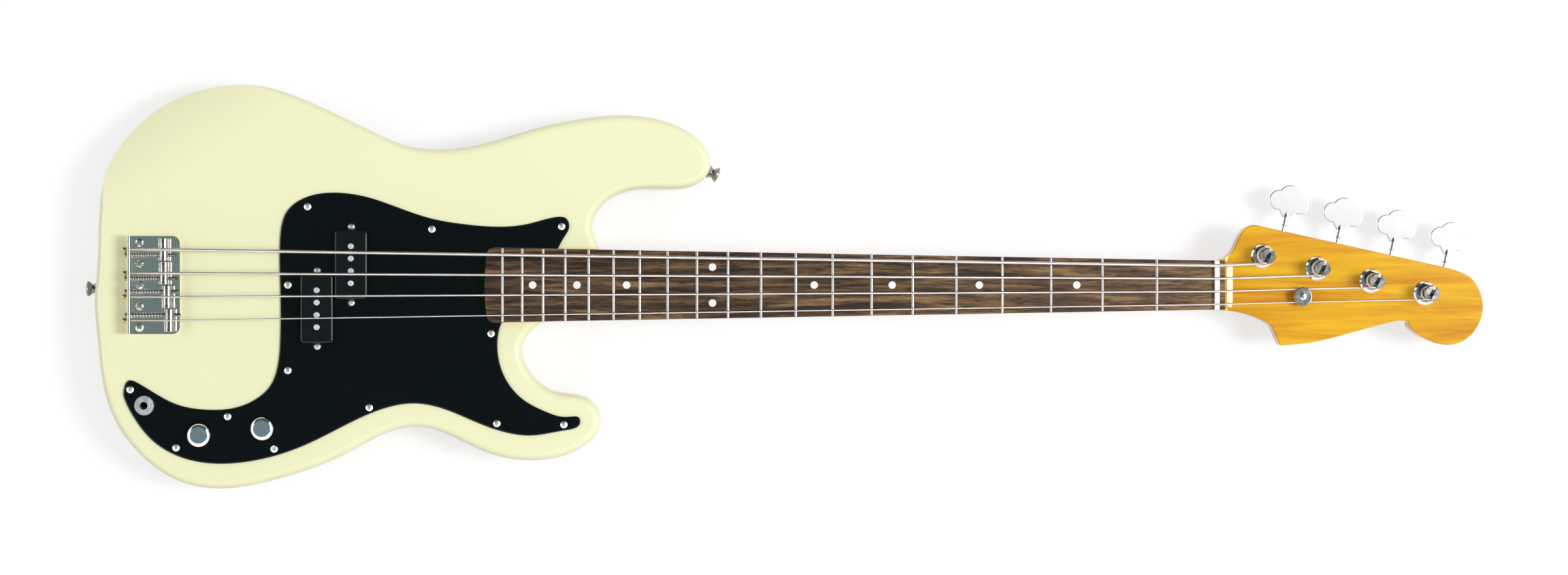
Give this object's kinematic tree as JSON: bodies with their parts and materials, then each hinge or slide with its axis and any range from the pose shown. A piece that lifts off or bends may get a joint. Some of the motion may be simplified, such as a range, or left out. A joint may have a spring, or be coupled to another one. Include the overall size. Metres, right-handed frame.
{
  "type": "electric bass guitar",
  "caption": "Solid body electric bass guitar with two horns, bolted neck, split pickups, knobs on a dark pickguard, sliding bridge saddles and worm-geared tuners.",
  "frame": {"origin": "centre of the neck plate's outer face, on which the instrument rests when laid on its back", "axes": "+X along the strings towards the headstock, +Y towards the lowest string, +Z out of the front"},
  "size_m": [1.1656, 0.3314, 0.0676],
  "materials": {
    "body_lacquer": "high gloss cream lacquer",
    "guard_plastic": "polished black sheet",
    "maple": "amber tinted gloss lacquer",
    "rosewood": "open pored, oiled",
    "fret_wire": "polished nickel silver",
    "dot_plastic": "flush, polished",
    "bone": "satin bone",
    "rod_steel": "plain steel",
    "plate_chrome": "mirror chrome",
    "cushion_plastic": "soft black sheet",
    "bridge_chrome": "bright chrome",
    "saddle_steel": "turned steel",
    "spring_steel": "drawn wire",
    "string_steel": "round wound wire",
    "pickup_plastic": "moulded black",
    "pickup_core": "taped coil",
    "foam": "open foam",
    "pot_steel": "stamped steel",
    "shaft_brass": "turned",
    "cap_plastic": "dipped",
    "wire_plastic": "insulated",
    "tuner_nickel": "polished",
    "gear_brass": "cut brass"
  },
  "bodies": {
    "instrument": {"body": "body_lacquer", "pickguard": "guard_plastic", "pickguard_screws": "plate_chrome", "neck": "maple", "fretboard": "rosewood", "frets": "fret_wire", "position_dots": "dot_plastic", "nut": "bone", "truss_rod": "rod_steel", "neck_plate": "plate_chrome", "neck_plate_cushion": "cushion_plastic", "neck_screws": "plate_chrome", "bridge_plate": "bridge_chrome", "bridge_screws": "plate_chrome", "intonation_springs": "spring_steel", "string_e": "string_steel", "string_a": "string_steel", "string_d": "string_steel", "string_g": "string_steel", "pickup_cover_bass": "pickup_plastic", "pickup_cover_treble": "pickup_plastic", "pickup_core_bass": "pickup_core", "pickup_core_treble": "pickup_core", "pickup_screws": "plate_chrome", "pickup_foam": "foam", "potentiometers": "pot_steel", "panel_nuts": "plate_chrome", "capacitor": "cap_plastic", "output_jack": "plate_chrome", "wires": "wire_plastic", "strap_buttons": "plate_chrome", "strap_and_tree_screws": "plate_chrome", "string_tree": "plate_chrome", "tuner_plates": "plate_chrome", "tuner_ferrules": "plate_chrome", "tuner_screws": "plate_chrome"},
    "key_e": {"tuner_key_e": "tuner_nickel"},
    "post_e": {"tuner_post_e": "tuner_nickel", "tuner_gear_e": "gear_brass"},
    "key_a": {"tuner_key_a": "tuner_nickel"},
    "post_a": {"tuner_post_a": "tuner_nickel", "tuner_gear_a": "gear_brass"},
    "key_d": {"tuner_key_d": "tuner_nickel"},
    "post_d": {"tuner_post_d": "tuner_nickel", "tuner_gear_d": "gear_brass"},
    "key_g": {"tuner_key_g": "tuner_nickel"},
    "post_g": {"tuner_post_g": "tuner_nickel", "tuner_gear_g": "gear_brass"},
    "volume": {"volume_knob": "plate_chrome", "volume_shaft": "shaft_brass"},
    "tone": {"tone_knob": "plate_chrome", "tone_shaft": "shaft_brass"},
    "intonation_e": {"intonation_screw_e": "saddle_steel"},
    "saddle_e": {"saddle_e": "saddle_steel"},
    "intonation_a": {"intonation_screw_a": "saddle_steel"},
    "saddle_a": {"saddle_a": "saddle_steel"},
    "intonation_d": {"intonation_screw_d": "saddle_steel"},
    "saddle_d": {"saddle_d": "saddle_steel"},
    "intonation_g": {"intonation_screw_g": "saddle_steel"},
    "saddle_g": {"saddle_g": "saddle_steel"}
  },
  "joints": [
    {"name": "key_turn_e", "type": "hinge", "parent": "instrument", "child": "key_e", "pos_m": [0.6276, 0.02064, 0.0252], "axis": [0.219, 0.9757, 0], "continuous": true, "deforming": ["string_e"]},
    {"name": "post_turn_e", "type": "hinge", "parent": "instrument", "child": "post_e", "pos_m": [0.6113, 0.0243, 0.0321], "axis": [0, 0, 1], "continuous": true, "deforming": ["string_e"]},
    {"name": "key_turn_a", "type": "hinge", "parent": "instrument", "child": "key_a", "pos_m": [0.6738, 0.01027, 0.0252], "axis": [0.219, 0.9757, 0], "continuous": true, "deforming": ["string_a"]},
    {"name": "post_turn_a", "type": "hinge", "parent": "instrument", "child": "post_a", "pos_m": [0.6575, 0.01393, 0.0321], "axis": [0, 0, 1], "continuous": true, "deforming": ["string_a"]},
    {"name": "key_turn_d", "type": "hinge", "parent": "instrument", "child": "key_d", "pos_m": [0.72, -0.0001, 0.0252], "axis": [0.219, 0.9757, 0], "continuous": true, "deforming": ["string_d"]},
    {"name": "post_turn_d", "type": "hinge", "parent": "instrument", "child": "post_d", "pos_m": [0.7037, 0.00356, 0.0321], "axis": [0, 0, 1], "continuous": true, "deforming": ["string_d"]},
    {"name": "key_turn_g", "type": "hinge", "parent": "instrument", "child": "key_g", "pos_m": [0.7662, -0.01047, 0.0252], "axis": [0.219, 0.9757, 0], "continuous": true, "deforming": ["string_g"]},
    {"name": "post_turn_g", "type": "hinge", "parent": "instrument", "child": "post_g", "pos_m": [0.7499, -0.00681, 0.0321], "axis": [0, 0, 1], "continuous": true, "deforming": ["string_g"]},
    {"name": "volume_turn", "type": "hinge", "parent": "instrument", "child": "volume", "pos_m": [-0.2184, -0.117, 0.0469], "axis": [0, 0, 1], "range_deg": [-150, 150]},
    {"name": "tone_turn", "type": "hinge", "parent": "instrument", "child": "tone", "pos_m": [-0.2693, -0.1222, 0.0469], "axis": [0, 0, 1], "range_deg": [-150, 150]},
    {"name": "intonation_turn_e", "type": "hinge", "parent": "instrument", "child": "intonation_e", "pos_m": [-0.3273, 0.0245, 0.05579], "axis": [1, 0, 0], "range_deg": [-2200, 2200], "deforming": ["string_e", "intonation_springs"]},
    {"name": "saddle_slide_e", "type": "slide", "parent": "instrument", "child": "saddle_e", "axis": [1, 0, 0], "range_m": [-0.003, 0.003], "deforming": ["string_e", "intonation_springs"]},
    {"name": "intonation_turn_a", "type": "hinge", "parent": "instrument", "child": "intonation_a", "pos_m": [-0.3273, 0.0053, 0.05718], "axis": [1, 0, 0], "range_deg": [-2200, 2200], "deforming": ["string_a", "intonation_springs"]},
    {"name": "saddle_slide_a", "type": "slide", "parent": "instrument", "child": "saddle_a", "axis": [1, 0, 0], "range_m": [-0.003, 0.003], "deforming": ["string_a", "intonation_springs"]},
    {"name": "intonation_turn_d", "type": "hinge", "parent": "instrument", "child": "intonation_d", "pos_m": [-0.3273, -0.0053, 0.05718], "axis": [1, 0, 0], "range_deg": [-2200, 2200], "deforming": ["string_d", "intonation_springs"]},
    {"name": "saddle_slide_d", "type": "slide", "parent": "instrument", "child": "saddle_d", "axis": [1, 0, 0], "range_m": [-0.003, 0.003], "deforming": ["string_d", "intonation_springs"]},
    {"name": "intonation_turn_g", "type": "hinge", "parent": "instrument", "child": "intonation_g", "pos_m": [-0.3273, -0.0245, 0.05579], "axis": [1, 0, 0], "range_deg": [-2200, 2200], "deforming": ["string_g", "intonation_springs"]},
    {"name": "saddle_slide_g", "type": "slide", "parent": "instrument", "child": "saddle_g", "axis": [1, 0, 0], "range_m": [-0.003, 0.003], "deforming": ["string_g", "intonation_springs"]}
  ],
  "couplings": [
    {"joint": "post_turn_e", "follows": "key_turn_e", "ratio": -0.041667},
    {"joint": "post_turn_a", "follows": "key_turn_a", "ratio": -0.041667},
    {"joint": "post_turn_d", "follows": "key_turn_d", "ratio": -0.041667},
    {"joint": "post_turn_g", "follows": "key_turn_g", "ratio": -0.041667},
    {"joint": "intonation_turn_e", "follows": "saddle_slide_e", "rad_per_m": -12566},
    {"joint": "intonation_turn_a", "follows": "saddle_slide_a", "rad_per_m": -12566},
    {"joint": "intonation_turn_d", "follows": "saddle_slide_d", "rad_per_m": -12566},
    {"joint": "intonation_turn_g", "follows": "saddle_slide_g", "rad_per_m": -12566}
  ]
}
